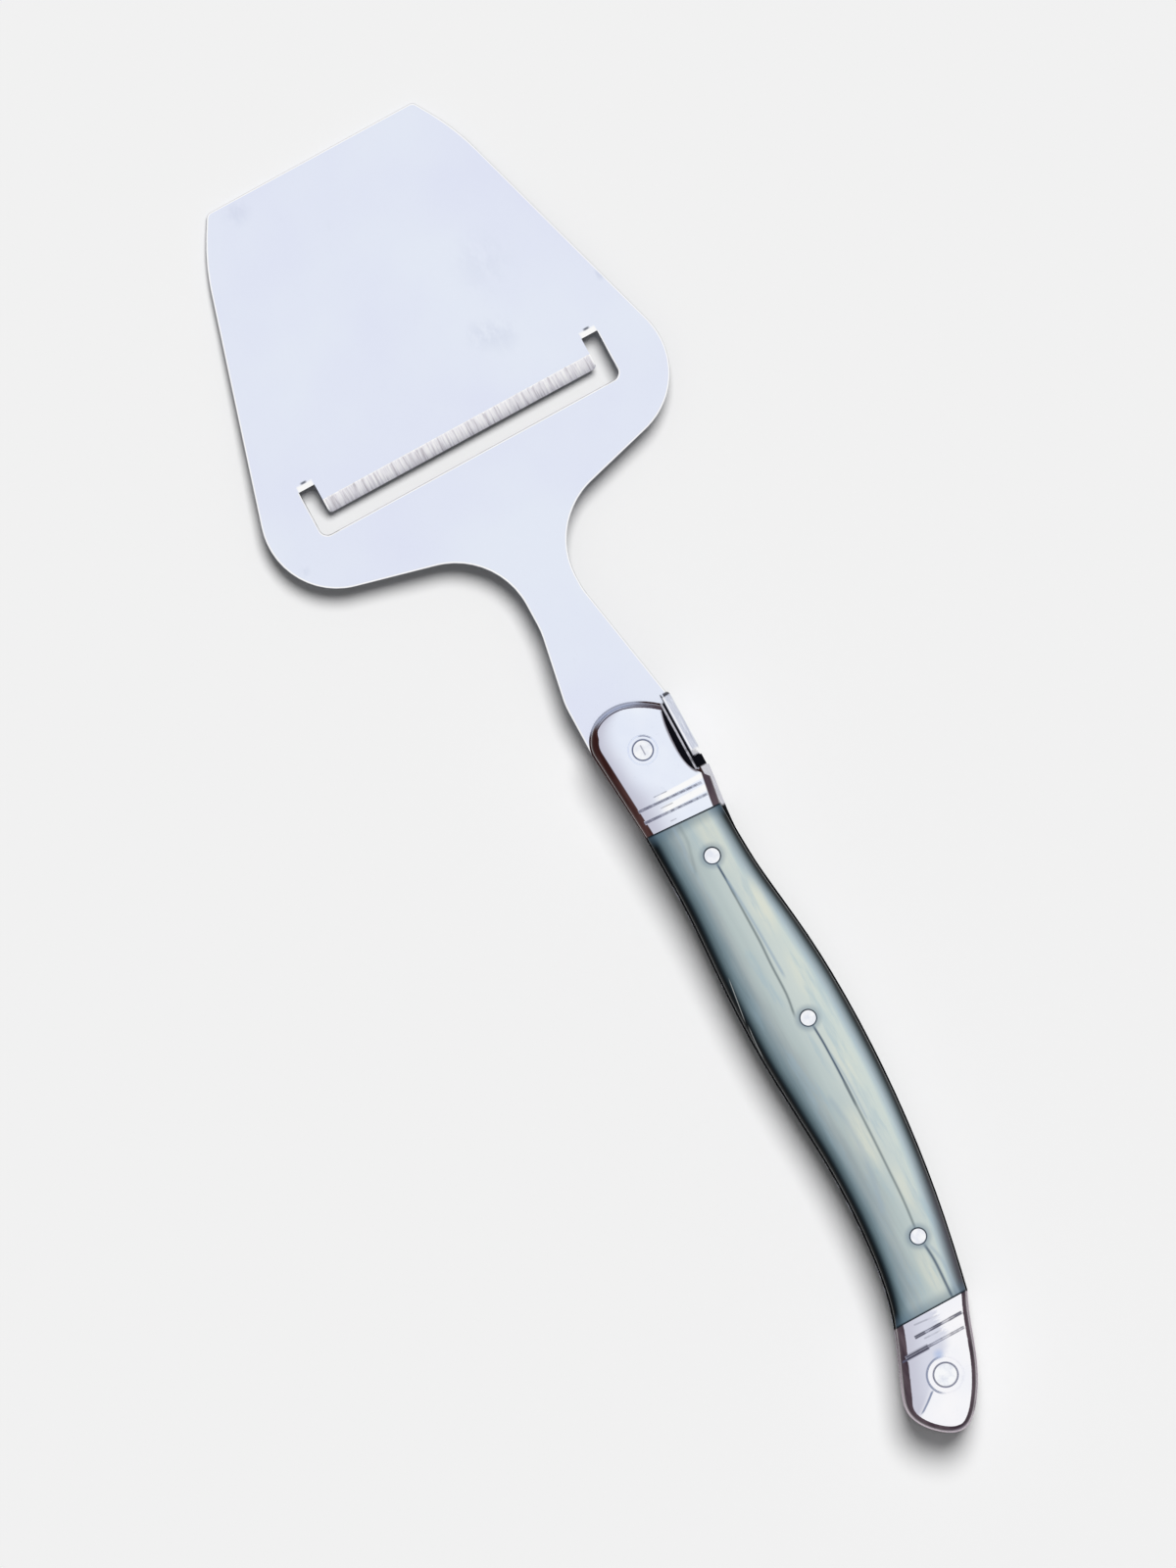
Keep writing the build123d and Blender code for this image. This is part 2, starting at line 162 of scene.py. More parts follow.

# Tones of the resin by the share of a depth from the edge of its back; the darkening at the edge is partly
# the resin's own tone and partly painted shade
back_depth = 4.0
back_tones = (
    (0.0, (0.008, 0.010, 0.010)),
    (0.1, (0.032, 0.038, 0.041)),
    (0.19, (0.115, 0.148, 0.163)),
    (0.26, (0.205, 0.252, 0.278)),
    (0.32, (0.275, 0.333, 0.367)),
    (0.44, (0.410, 0.490, 0.530)),
    (0.53, (0.480, 0.570, 0.590)),
    (0.65, (0.590, 0.665, 0.645)),
    (0.85, (0.72, 0.78, 0.76)),
)

# Veins of the resin: points from front to rear, half width, strength and colour
dark_blue = (0.05, 0.085, 0.14)
vein_line = (0.19, 0.23, 0.24)
pale_blue = (0.33, 0.42, 0.50)
scratch_line = (0.55, 0.58, 0.58)
veins = (
    (((-15.6, -3.05), (-18.7, -3.15), (-21.5, -3.2)), 0.34, 0.95, dark_blue),
    (((-20.0, -3.15), (-28.7, -3.15), (-33.7, -2.95), (-38.7, -2.85), (-42.2, -2.35)), 0.36, 0.9, vein_line),
    (((-18.5, -3.25), (-24.7, -3.6), (-28.7, -3.75), (-36.0, -3.9)), 0.4, 0.7, pale_blue),
    (((-45.0, -4.15), (-48.7, -4.3), (-54.5, -4.25), (-59.0, -4.1)), 0.34, 0.95, dark_blue),
    (((-55.0, -4.2), (-63.7, -4.0), (-70.0, -3.75), (-76.0, -3.45), (-80.4, -3.0)), 0.36, 0.85, vein_line),
    (((-50.0, -4.5), (-55.0, -4.75), (-62.0, -4.6)), 0.3, 0.5, pale_blue),
    (((-83.2, -3.05), (-86.0, -3.25), (-89.7, -3.1), (-92.6, -2.95)), 0.42, 0.85, dark_blue),
    (((-83.5, -3.6), (-87.0, -4.3), (-92.6, -4.1)), 0.5, 0.5, pale_blue),
    (((-7.2, -0.65), (-9.7, -0.75), (-12.7, -0.15), (-15.7, 0.65)), 0.5, 0.3, vein_line),
    (((-7.5, 0.3), (-10.0, 0.2), (-12.5, 0.6)), 0.45, 0.4, pale_blue),
    (((-56.0, -0.9), (-62.0, -1.6), (-69.0, -1.2), (-76.0, 0.3)), 0.8, 0.4, pale_blue),
    (((-32.7, 3.95), (-35.9, 4.4), (-39.1, 4.85)), 0.11, 0.8, scratch_line),
    (((-40.7, 4.8), (-43.0, 5.0), (-45.4, 5.1)), 0.11, 0.8, scratch_line),
)

# Belly edge of the two bolsters, from the front to the rear
belly_places = (13.5, 10.6, 8.1, -7.1, -92.7, -96.8, -101.3, -105.0, -109.8, -111.3)
belly_heights = (0.0, 5.0, 5.65, 4.52, 7.16, 8.7, 10.54, 11.55, 9.0, 5.39)

# Edge of the front bolster's scoop, from the nose to the heel
scoop_line = (
    (9.5, -7.05),
    (7.3, -6.52),
    (5.6, -6.33),
    (3.9, -6.25),
    (1.05, -6.42),
    (-1.1, -7.05),
    (-1.8, -7.5),
)

# Grooves and strokes on the bolsters, drawn dark, with painted shade in the grooves: place, lean, ends
# across the tool, half width and strength
grooves = (
    (-2.98, seam_lean, -7.0, 3.8, 0.17, 0.9),
    (-4.98, seam_lean, -7.0, 3.8, 0.17, 0.9),
    (-1.9, seam_lean, -1.6, 0.65, 0.14, 0.5),
    (-3.95, seam_lean, -1.6, 0.5, 0.14, 0.5),
    (-6.4, seam_lean, -0.9, 0.1, 0.14, 0.4),
    (-95.3, 0.0, -3.1, 5.2, 0.4, 0.85),
    (-97.5, 0.0, -2.3, 4.2, 0.34, 0.6),
    (-97.5, 0.0, 4.0, 8.0, 0.62, 0.8),
    (-97.75, 0.0, 4.0, 9.0, 0.24, 1.0),
    (-93.9, 0.09, 0.5, 4.4, 0.2, 0.35),
    (-96.3, 0.05, 1.0, 4.0, 0.2, 0.35),
)

# How far across the tool a ground groove reaches at most
groove_reach = 8.0

# Line on the rear bolster beyond which a painted grey reflection lies
painted_reflection_line = (
    (-93.0, 0.8),
    (-98.0, 0.9),
    (-99.5, 2.0),
    (-101.5, 4.5),
    (-103.0, 5.9),
    (-103.9, 6.8),
    (-106.2, 9.8),
    (-107.2, 11.5),
)


class Nodes:
    """Short forms for making the nodes of one material."""

    def __init__(self, name):
        self.material = bpy.data.materials.new(name)
        self.material.use_nodes = True
        self.tree = self.material.node_tree
        self.shader = self.tree.nodes["Principled BSDF"]
        place = self.make("ShaderNodeTexCoord").outputs["Object"]
        millimetres = self.make("ShaderNodeVectorMath", operation="SCALE")
        self.join(place, millimetres.inputs[0])
        millimetres.inputs["Scale"].default_value = 1000.0
        self.place = millimetres.outputs[0]
        split = self.make("ShaderNodeSeparateXYZ")
        self.join(self.place, split.inputs[0])
        self.x, self.y, self.z = split.outputs
        facing = self.make("ShaderNodeSeparateXYZ")
        self.join(self.make("ShaderNodeTexCoord").outputs["Normal"], facing.inputs[0])
        self.nx, self.ny, self.nz = facing.outputs

    def make(self, kind, **settings):
        node = self.tree.nodes.new(kind)
        for key, value in settings.items():
            setattr(node, key, value)
        return node

    def join(self, value, socket):
        """Gives a socket a value: another socket, a number or a colour."""
        if isinstance(value, bpy.types.NodeSocket):
            self.tree.links.new(value, socket)
        elif isinstance(value, tuple) and socket.type == "RGBA":
            socket.default_value = (*value, 1.0)
        else:
            socket.default_value = value

    def sum(self, operation, *values):
        """Result of an operation on numbers."""
        node = self.make("ShaderNodeMath", operation=operation)
        for value, socket in zip(values, node.inputs):
            self.join(value, socket)
        return node.outputs[0]

    def step(self, value, low, high, to_low=0.0, to_high=1.0):
        """Smooth step of a value between two limits."""
        node = self.make("ShaderNodeMapRange", interpolation_type="SMOOTHSTEP")
        for source, socket in zip((value, low, high, to_low, to_high), node.inputs):
            self.join(source, socket)
        return node.outputs[0]

    def band(self, value, low, high, soft):
        """1 between two limits and 0 outside them, with soft ends."""
        rise = self.step(value, low - soft, low + soft)
        fall = self.step(value, high - soft, high + soft, 1.0, 0.0)
        return self.sum("MULTIPLY", rise, fall)

    def mix(self, share, first, second):
        """The first colour, with a share of it taken by the second."""
        node = self.make("ShaderNodeMix", data_type="RGBA")
        self.join(share, node.inputs[0])
        self.join(first, node.inputs[6])
        self.join(second, node.inputs[7])
        return node.outputs[2]

    def darker(self, first, second):
        """The darker of two colours, channel by channel."""
        node = self.make("ShaderNodeMix", data_type="RGBA", blend_type="DARKEN")
        node.inputs[0].default_value = 1.0
        self.join(first, node.inputs[6])
        self.join(second, node.inputs[7])
        return node.outputs[2]

    def ramp(self, value, stops):
        """Colour of a value by its stops, each a place from 0 to 1 and a colour."""
        node = self.make("ShaderNodeValToRGB")
        ends = node.color_ramp.elements
        while len(ends) < len(stops):
            ends.new(0.5)
        for end, (place, _) in zip(ends, stops):
            end.position = place
        for end, (_, colour) in zip(ends, stops):
            end.color = (*colour, 1.0)
        self.join(value, node.inputs[0])
        return node.outputs[0]

    def line(self, points):
        """Y of a smooth line through points, each an x and a y, at the x of the shaded point."""
        node = self.make("ShaderNodeFloatCurve")
        curve = node.mapping.curves[0]
        ends = sorted((self.share(x, map_x), self.share(y, map_y)) for x, y in points)
        while len(curve.points) < len(ends):
            curve.points.new(0.5, 0.5)
        for point, end in zip(curve.points, ends):
            point.location = end
            point.handle_type = "AUTO_CLAMPED"
        node.mapping.update()
        along = self.step_straight(self.x, map_x, (0.0, 1.0))
        self.join(along, node.inputs["Value"])
        return self.step_straight(node.outputs[0], (0.0, 1.0), map_y)

    @staticmethod
    def share(value, limits):
        """Where a value lies between two limits, from 0 to 1."""
        return (value - limits[0]) / (limits[1] - limits[0])

    def step_straight(self, value, low_high, to):
        """Straight step of a value from one pair of limits to another."""
        node = self.make("ShaderNodeMapRange")
        for source, socket in zip((value, *low_high, *to), node.inputs):
            self.join(source, socket)
        return node.outputs[0]

    def noise(self, size, detail=2.0, stretch=(1.0, 1.0, 1.0), roughness=0.5):
        """Noise whose features are about the size given, drawn out along the axes."""
        spread = self.make("ShaderNodeVectorMath", operation="MULTIPLY")
        self.join(self.place, spread.inputs[0])
        spread.inputs[1].default_value = tuple(1.0 / (size * each) for each in stretch)
        node = self.make("ShaderNodeTexNoise")
        self.join(spread.outputs[0], node.inputs["Vector"])
        node.inputs["Scale"].default_value = 1.0
        node.inputs["Detail"].default_value = detail
        node.inputs["Roughness"].default_value = roughness
        return node.outputs[0]

    def away(self, place, stretch=1.0):
        """Distance from an upright line at a place in the plan, with lengths along the tool shrunk."""
        along = self.sum("DIVIDE", self.sum("SUBTRACT", self.x, place[0]), stretch)
        across = self.sum("SUBTRACT", self.y, place[1])
        squares = self.sum("ADD", self.sum("POWER", along, 2.0), self.sum("POWER", across, 2.0))
        return self.sum("SQRT", squares)

    def bump(self, height, strength, distance):
        """Raises the surface by a height from 0 to 1, over a distance in metres."""
        node = self.make("ShaderNodeBump")
        node.inputs["Strength"].default_value = strength
        node.inputs["Distance"].default_value = distance
        self.join(height, node.inputs["Height"])
        self.join(node.outputs[0], self.shader.inputs["Normal"])

    def finish(self, **values):
        """Sets the shader's inputs and returns the material."""
        for name, value in values.items():
            self.join(value, self.shader.inputs[name.replace("_", " ")])
        return self.material


def recess_shade_share(n):
    """Share of the recess between the front bolster and the bar on the tool's back, which gets painted
    shade.
    """
    return n.sum("MULTIPLY", n.band(n.x, *recess_x, 0.25), n.band(n.y, *recess_y, 0.12))


def recess_shade_colour(n):
    """Painted shade in the recess, near black, with a painted highlight line along it, broken up by noise.
    """
    breakup = n.step(n.noise(0.6, 3.0, (3.0, 1.0, 1.0), 0.65), 0.38, 0.52, 0.35, 1.0)
    line = n.sum("MULTIPLY", n.band(n.y, *recess_highlight_y, 0.05), breakup)
    return n.mix(line, painted_shade_black, (0.52, 0.52, 0.58))


def in_strip(n, aside):
    """Share of the ground strip on the tongue, which has a ragged front edge."""
    ragged = n.noise(0.5, 2.0, (9.0, 1.0, 1.0), 0.7)
    start = n.sum("ADD", strip_front, n.sum("MULTIPLY", ragged, 0.9))
    from_start = n.step(n.x, start, n.sum("SUBTRACT", start, 0.3))
    strip = n.sum("MULTIPLY", from_start, n.step(n.x, *strip_rear))
    strip = n.sum("MULTIPLY", strip, n.step(aside, *strip_end, 1.0, 0.0))
    return n.sum("MULTIPLY", strip, n.step(n.nz, 0.5, 0.8))


def blade_steel():
    """Polished sheet: pale, mottled, scuffed, with painted highlights and shade, and a ground strip on the
    tongue.
    """
    n = Nodes("polished_sheet")
    clouds = n.noise(26.0, 3.0)
    tone = n.ramp(clouds, ((0.35, (0.770, 0.805, 0.945)), (0.65, (0.805, 0.850, 0.955))))
    wear = n.noise(3.0, 6.0, (1.6, 1.0, 1.0), 0.7)
    tone = n.mix(n.step(wear, 0.66, 0.8, 0.0, 0.3), tone, (0.64, 0.68, 0.80))
    for place, reach, strength in smudges:
        near = n.step(n.away(place), 0.0, reach, strength, 0.0)
        smudge = n.sum("MULTIPLY", near, n.step(wear, 0.35, 0.6))
        tone = n.mix(smudge, tone, (0.55, 0.60, 0.76))
    # Painted highlight on the rims, with a painted dark edge where they are steepest
    rim = n.step(n.nz, 0.9, 0.99, 1.0, 0.0)
    tone = n.mix(rim, tone, n.mix(n.step(n.nz, 0.25, 0.7), (0.30, 0.32, 0.38), white))
    aside = n.sum("ABSOLUTE", n.y)
    # Painted highlights at the ends of the slot's legs, and painted shade at the bend beside them
    leg_end = n.sum("MULTIPLY", n.band(n.x, *leg_x, 0.12), n.band(aside, *leg_y, 0.15))
    tone = n.mix(leg_end, tone, white)
    bend_shade = n.sum("MULTIPLY", n.band(n.x, *bend_shade_x, 0.12), n.band(aside, *bend_shade_y, 0.25))
    tone = n.mix(n.sum("MULTIPLY", bend_shade, 0.85), tone, (0.06, 0.07, 0.10))
    strip = in_strip(n, aside)
    marks = n.noise(0.34, 3.0, (20.0, 1.0, 20.0), 0.7)
    ground = ((0.32, (0.60, 0.57, 0.61)), (0.48, (0.87, 0.855, 0.90)), (0.62, (1.0, 0.99, 1.0)))
    tone = n.mix(strip, tone, n.ramp(marks, ground))
    # Painted shade in the recess by the bar
    tone = n.mix(recess_shade_share(n), tone, recess_shade_colour(n))
    brushed = n.noise(0.18, 4.0, (1.0, 26.0, 1.0), 0.7)
    dull = n.sum("ADD", n.step(brushed, 0.3, 0.7, 0.13, 0.2), n.sum("MULTIPLY", strip, 0.2))
    height = n.sum("ADD", n.sum("MULTIPLY", brushed, 0.06), n.sum("MULTIPLY", strip, marks))
    n.bump(height, 0.35, 0.00004)
    return n.finish(Base_Color=tone, Metallic=1.0, Roughness=dull)


def pin_ring(n):
    """Share of the fine dark ring round each bolster pin."""
    front_ring = n.sum("ABSOLUTE", n.sum("SUBTRACT", n.away(front_pin), front_ring_radius))
    rear_ring = n.sum("ABSOLUTE", n.sum("SUBTRACT", n.away(rear_pin), rear_ring_radius))
    return n.step(n.sum("MINIMUM", front_ring, rear_ring), 0.01, 0.08, 0.7, 0.0)


def from_groove(n, place, lean):
    """Distance from the middle line of a groove."""
    return n.sum("ABSOLUTE", n.sum("SUBTRACT", n.x, n.sum("MULTIPLY_ADD", n.y, lean, place)))


def groove_dark_breakup(n, front):
    """How much of the dark in the grooves and strokes is left, in flecks at the front and in blotches at the
    rear.
    """
    front_breakup = n.step(n.noise(0.9, 2.0, (3.0, 1.0, 1.0), 0.6), 0.35, 0.6, 0.55, 1.0)
    rear_breakup = n.step(n.noise(1.3, 1.0, (1.0, 1.4, 1.0)), 0.42, 0.55, 0.45, 1.0)
    rear_breakup = n.sum("MAXIMUM", rear_breakup, n.step(n.y, 3.0, 3.6, 0.0, 0.95))
    return n.sum("MULTIPLY_ADD", front, n.sum("SUBTRACT", front_breakup, rear_breakup), rear_breakup)


def groove_shade_mask(n, breakup):
    """Painted shade in the grooves, and the dark strokes on the bolsters, broken up in places."""
    mask = 0.0
    for place, lean, low, high, half, strength in grooves:
        gap = from_groove(n, place, lean)
        line = n.step(gap, half * 0.35, half, strength, 0.0)
        mask = n.sum("MAXIMUM", mask, n.sum("MULTIPLY", line, n.band(n.y, low, high, 0.15)))
    return n.sum("MULTIPLY", n.sum("MULTIPLY", mask, breakup), n.step(n.z, *groove_rise_z))


def in_groove(n):
    """1 at the ground grooves, where the slopes are the grooves' own."""
    mask = 0.0
    for place, lean, low, high, _, _ in grooves:
        along = n.step(from_groove(n, place, lean), 0.3, 0.35, 1.0, 0.0)
        near = n.sum("MULTIPLY", along, n.band(n.y, low, min(high, groove_reach), 0.05))
        mask = n.sum("MAXIMUM", mask, near)
    return mask


def bolster_flat(n, front, scuff, above_reflection_line):
    """Tone of a bolster's flat top: bright, with a painted grey reflection towards the belly, painted
    highlight bands and scuffs.
    """
    slow = n.noise(7.0, 2.0)
    front_flat = n.ramp(slow, ((0.3, (0.80, 0.85, 0.97)), (0.7, (0.88, 0.92, 1.0))))
    rear_flat = n.ramp(slow, ((0.3, (0.92, 0.93, 0.98)), (0.7, (0.99, 0.98, 1.0))))
    flat = n.mix(front, rear_flat, front_flat)
    to_belly = n.sum("SUBTRACT", n.line(tuple(zip(belly_places, belly_heights))), n.y)
    # Painted grey reflection towards the belly edge and beyond the painted reflection line
    reflected_grey = n.mix(n.step(to_belly, 1.3, 5.0), (0.555, 0.56, 0.665), (0.68, 0.70, 0.81))
    streaks = n.noise(1.0, 4.0, (0.7, 4.0, 1.0), 0.65)
    spread = n.step(n.x, *reflection_streaks_x, 0.0, 9.0)
    ragged = n.sum("ADD", above_reflection_line, n.sum("MULTIPLY", n.sum("SUBTRACT", streaks, 0.5), spread))
    beside_pin = n.step(n.away(rear_pin), *reflection_from_rear_pin)
    rear_reflection = n.sum("MULTIPLY", n.step(ragged, -0.9, 1.4, 0.0, 0.9), beside_pin)
    reflection_reach = n.step(n.x, *reflection_turn_x, 5.0, 7.5)
    front_reflection = n.step(to_belly, 0.9, reflection_reach, 0.95, 0.0)
    flat = n.mix(n.mix(front, rear_reflection, front_reflection), flat, reflected_grey)
    # Painted highlights on the raised ribs beside the front grooves
    highlight_bands = n.sum("ADD", *(n.band(n.x, *ends, 0.15) for ends in rib_highlight_bands))
    highlight_bands = n.sum("MULTIPLY", highlight_bands, n.step(n.y, *rib_highlight_bands_y, 1.0, 0.0))
    flat = n.mix(highlight_bands, flat, white)
    return n.mix(n.step(scuff, 0.58, 0.78, 0.0, 0.4), flat, (0.58, 0.60, 0.72))


def bolster_slope_reflection(n, front, leaning):
    """Tone of a bolster's slopes: painted reflection, warm and dark at the edges and grey round the nose;
    paler steel on the walls.
    """
    drawn = n.noise(2.2, 3.0, (4.0, 1.0, 1.0))
    red = n.ramp(drawn, ((0.35, (0.036, 0.013, 0.012)), (0.65, (0.085, 0.042, 0.040))))
    purple = n.ramp(drawn, ((0.35, (0.045, 0.030, 0.042)), (0.65, (0.115, 0.085, 0.102))))
    warm = n.mix(n.sum("MULTIPLY", front, n.step(n.ny, -0.1, 0.3)), purple, red)
    round_nose = n.mix(n.step(leaning, 0.72, 0.82), nose_reflection_grey, (0.10, 0.09, 0.13))
    along_nose = n.sum("DIVIDE", n.ny, n.sum("MAXIMUM", n.nx, 0.01))
    faces_front = n.sum("MULTIPLY", n.band(along_nose, -0.55, 0.6, 0.3), n.step(n.nx, 0.02, 0.06))
    warm = n.mix(faces_front, warm, round_nose)
    warm = n.mix(n.step(n.nx, -0.65, -0.95), warm, (0.17, 0.14, 0.18))
    return n.mix(n.step(leaning, 0.02, 0.25), (0.55, 0.545, 0.58), warm)


def painted_edge_share(n, front, leaning):
    """1 where the painted dark reflection lies on a bolster's slopes, narrower at the nose, the back and the
    butt.
    """
    beside_front_pin = n.step(n.away(front_pin), *edge_from_front_pin)
    beside_rear_pin = n.step(n.away(rear_pin), *edge_from_rear_pin)
    clear = n.sum("MULTIPLY", beside_front_pin, beside_rear_pin)
    steepness = n.sum("SQRT", n.sum("SUBTRACT", 1.0, n.sum("POWER", n.nz, 2.0)))
    flank = n.sum("DIVIDE", n.ny, n.sum("MAXIMUM", steepness, 0.02))
    at_nose = n.sum("MULTIPLY", n.step(flank, 0.85, 0.6), n.step(n.nx, 0.0, 0.02, 0.0, 0.12))
    at_back = n.step(flank, 0.7, -0.3, 0.0, 0.13)
    at_rear = n.sum("MAXIMUM", at_back, n.step(n.x, *butt_x, 0.0, 0.1))
    at_rear = n.sum("MULTIPLY", n.sum("SUBTRACT", 1.0, front), at_rear)
    narrower = n.sum("ADD", at_nose, at_rear)
    edge = n.sum("MULTIPLY", n.step(n.sum("ADD", leaning, narrower), 0.972, 0.994, 1.0, 0.0), clear)
    return n.sum("MULTIPLY", edge, n.sum("SUBTRACT", 1.0, in_groove(n)))


def add_pin_marks(n, tone, above_reflection_line):
    """Fine rings, painted shade in arcs of the ring grooves, a painted reflection edge and a blue spot about
    the bolster pins.
    """
    tone = n.mix(pin_ring(n), tone, ring_grey)
    # Painted shade along one side of each ring groove
    from_front_arc = n.sum("ABSOLUTE", n.sum("SUBTRACT", n.away(front_pin), front_arc_radius))
    front_part = n.sum("MULTIPLY", n.step(n.x, *front_arc_x), n.step(n.y, *front_arc_y))
    front_arc = n.sum("MULTIPLY", n.step(from_front_arc, 0.03, 0.14, 0.75, 0.0), front_part)
    tone = n.mix(front_arc, tone, (0.14, 0.16, 0.26))
    from_rear_arc = n.sum("ABSOLUTE", n.sum("SUBTRACT", n.away(rear_pin), rear_arc_radius))
    rear_part = n.sum("MULTIPLY", n.step(n.y, *rear_arc_y), n.step(n.x, *rear_arc_x))
    rear_arc = n.sum("MULTIPLY", n.step(from_rear_arc, 0.05, 0.24, 0.8, 0.0), rear_part)
    # Painted dark edge of the painted reflection on the rear bolster
    reflection_edge = n.step(n.sum("ABSOLUTE", above_reflection_line), 0.1, 0.4, 0.9, 0.0)
    reflection_edge = n.sum("MULTIPLY", reflection_edge, n.band(n.x, *reflection_edge_x, 0.2))
    tone = n.mix(n.sum("MAXIMUM", rear_arc, reflection_edge), tone, (0.21, 0.25, 0.38))
    return n.mix(n.step(n.away(arc_end), 0.1, 1.2, 0.5, 0.0), tone, (0.36, 0.50, 0.80))


def bolster_steel():
    """Polished bolster: bright flats, painted dark warm reflection on the rounded edges, fine scuffs,
    painted shade in the grooves.
    """
    n = Nodes("bolster_steel")
    front = n.step(n.x, *between_bolsters_x)
    leaning = n.sum("ABSOLUTE", n.nz)
    scuff = n.noise(0.9, 6.0, (1.0, 1.4, 1.0), 0.75)
    above_reflection_line = n.sum("SUBTRACT", n.y, n.line(painted_reflection_line))
    tone = bolster_flat(n, front, scuff, above_reflection_line)
    tone = n.mix(painted_edge_share(n, front, leaning), tone, bolster_slope_reflection(n, front, leaning))
    # Painted shade along the edge of the scoop
    to_scoop = n.sum("SUBTRACT", n.y, n.line(scoop_line))
    scoop_rim_shade = n.sum("MULTIPLY", n.step(to_scoop, 0.1, 0.5, 0.85, 0.0), n.band(n.x, *scoop_x, 0.3))
    scoop_rim_shade = n.sum("MULTIPLY", scoop_rim_shade, n.step(n.z, *scoop_rise_z))
    tone = n.mix(scoop_rim_shade, tone, (0.085, 0.055, 0.075))
    tone = n.mix(groove_shade_mask(n, groove_dark_breakup(n, front)), tone, (0.10, 0.10, 0.15))
    tone = add_pin_marks(n, tone, above_reflection_line)
    n.bump(scuff, 0.2, 0.00002)
    return n.finish(Base_Color=tone, Metallic=1.0, Roughness=n.step(scuff, 0.35, 0.75, 0.08, 0.2))


def head_steel():
    """Silvery bar on the back, scuffed along its length, painted shade at its front end, painted highlights,
    painted shadow at its foot.
    """
    n = Nodes("head_steel")
    hair = n.noise(0.3, 4.0, (9.0, 1.0, 1.0), 0.75)
    tone = n.ramp(hair, ((0.35, (0.53, 0.56, 0.67)), (0.65, (0.76, 0.79, 0.88))))
    tone = n.mix(n.step(n.x, *bar_tip_shade_x), tone, (0.06, 0.06, 0.08))
    tone = n.mix(n.step(n.x, *bar_heel_highlight_x), tone, white)
    tone = n.mix(n.band(n.y, *bar_highlight_y, 0.1), tone, (0.93, 0.94, 0.98))
    tone = n.mix(n.step(n.y, *bar_foot_shadow_y), tone, (0.05, 0.05, 0.07))
    n.bump(hair, 0.3, 0.00002)
    return n.finish(Base_Color=tone, Metallic=1.0, Roughness=n.step(hair, 0.3, 0.7, 0.15, 0.26))


def lip_tone(n, grain):
    """Tone of the liners' lip: painted shade, black along the grip; painted brown and grey reflection at the
    front; pinkish at the butt.
    """
    dark = n.ramp(grain, ((0.3, (0.006, 0.006, 0.007)), (0.7, (0.014, 0.015, 0.016))))
    brown = n.ramp(grain, ((0.3, (0.028, 0.013, 0.013)), (0.7, (0.055, 0.030, 0.030))))
    pink = n.ramp(grain, ((0.3, (0.46, 0.40, 0.45)), (0.7, (0.64, 0.56, 0.61))))
    lip = n.mix(n.step(n.x, grip_front - 0.3, grip_front + 0.3), dark, brown)
    nose = n.sum("MULTIPLY", n.step(n.x, *lip_nose_x), n.step(n.y, *lip_nose_y))
    lip = n.mix(nose, lip, nose_reflection_grey)
    behind = n.step(n.x, grip_rear, grip_rear - 0.3)
    to_butt = n.step(n.x, grip_rear - 0.2, lip_butt_x, 0.35, 1.0)
    shown = n.sum("MULTIPLY", to_butt, n.step(n.y, *lip_belly_y))
    shown = n.sum("MAXIMUM", shown, n.step(n.y, lip_belly_y[1], lip_belly_y[0], 0.0, 0.8))
    return n.mix(n.sum("MULTIPLY", shown, behind), lip, pink)


def liner_steel():
    """Satin steel between the scales, with painted shade and painted reflection on its lip, and painted
    shade in the recess.
    """
    n = Nodes("liner_steel")
    grain = n.noise(0.25, 4.0, (14.0, 1.0, 1.0), 0.7)
    bright = n.ramp(grain, ((0.3, (0.56, 0.56, 0.61)), (0.7, (0.80, 0.80, 0.85))))
    upward = n.step(n.sum("ABSOLUTE", n.nz), 0.5, 0.8)
    spring_toe = n.sum("MULTIPLY", n.band(n.x, *toe_x, 0.3), n.step(n.y, *toe_y, 1.0, 0.0))
    on_lip = n.sum("MULTIPLY", upward, n.sum("SUBTRACT", 1.0, spring_toe))
    tone = n.mix(on_lip, bright, lip_tone(n, grain))
    # Painted shade in the recess
    shaded_recess = n.sum("MULTIPLY", recess_shade_share(n), n.step(n.x, *liner_recess_x))
    tone = n.mix(shaded_recess, tone, recess_shade_colour(n))
    n.bump(grain, 0.3, 0.00002)
    return n.finish(Base_Color=tone, Metallic=1.0, Roughness=n.step(grain, 0.3, 0.7, 0.22, 0.34))


def pin_steel():
    """Polished rivet ends with a few hairlines, painted shade in the driver's slot and on their rounded
    sides.
    """
    n = Nodes("pin_steel")
    hair = n.noise(0.3, 4.0, (5.0, 1.0, 1.0), 0.75)
    cloud = n.noise(1.3, 3.0)
    tone = n.ramp(cloud, ((0.35, (0.80, 0.83, 0.91)), (0.6, (0.97, 0.98, 1.0))))
    tone = n.mix(n.step(hair, 0.5, 0.7, 0.0, 0.3), tone, white)
    # Painted shade in the driver's slot
    slot_x = n.band(n.x, front_pin[0] - slot_half_length, front_pin[0] + slot_half_length, 0.08)
    slot_y = n.band(n.y, front_pin[1] - slot_half_width, front_pin[1] + slot_half_width, 0.06)
    tone = n.mix(n.sum("MULTIPLY", slot_x, slot_y), tone, (0.42, 0.43, 0.50))
    tone = n.mix(pin_ring(n), tone, ring_grey)
    # Painted shade on the rounded sides of the pin ends
    tone = n.mix(n.step(n.sum("ABSOLUTE", n.nz), 0.3, 0.7, 1.0, 0.0), tone, (0.34, 0.35, 0.42))
    n.bump(hair, 0.2, 0.00001)
    return n.finish(Base_Color=tone, Metallic=1.0, Roughness=n.step(hair, 0.3, 0.7, 0.12, 0.22))


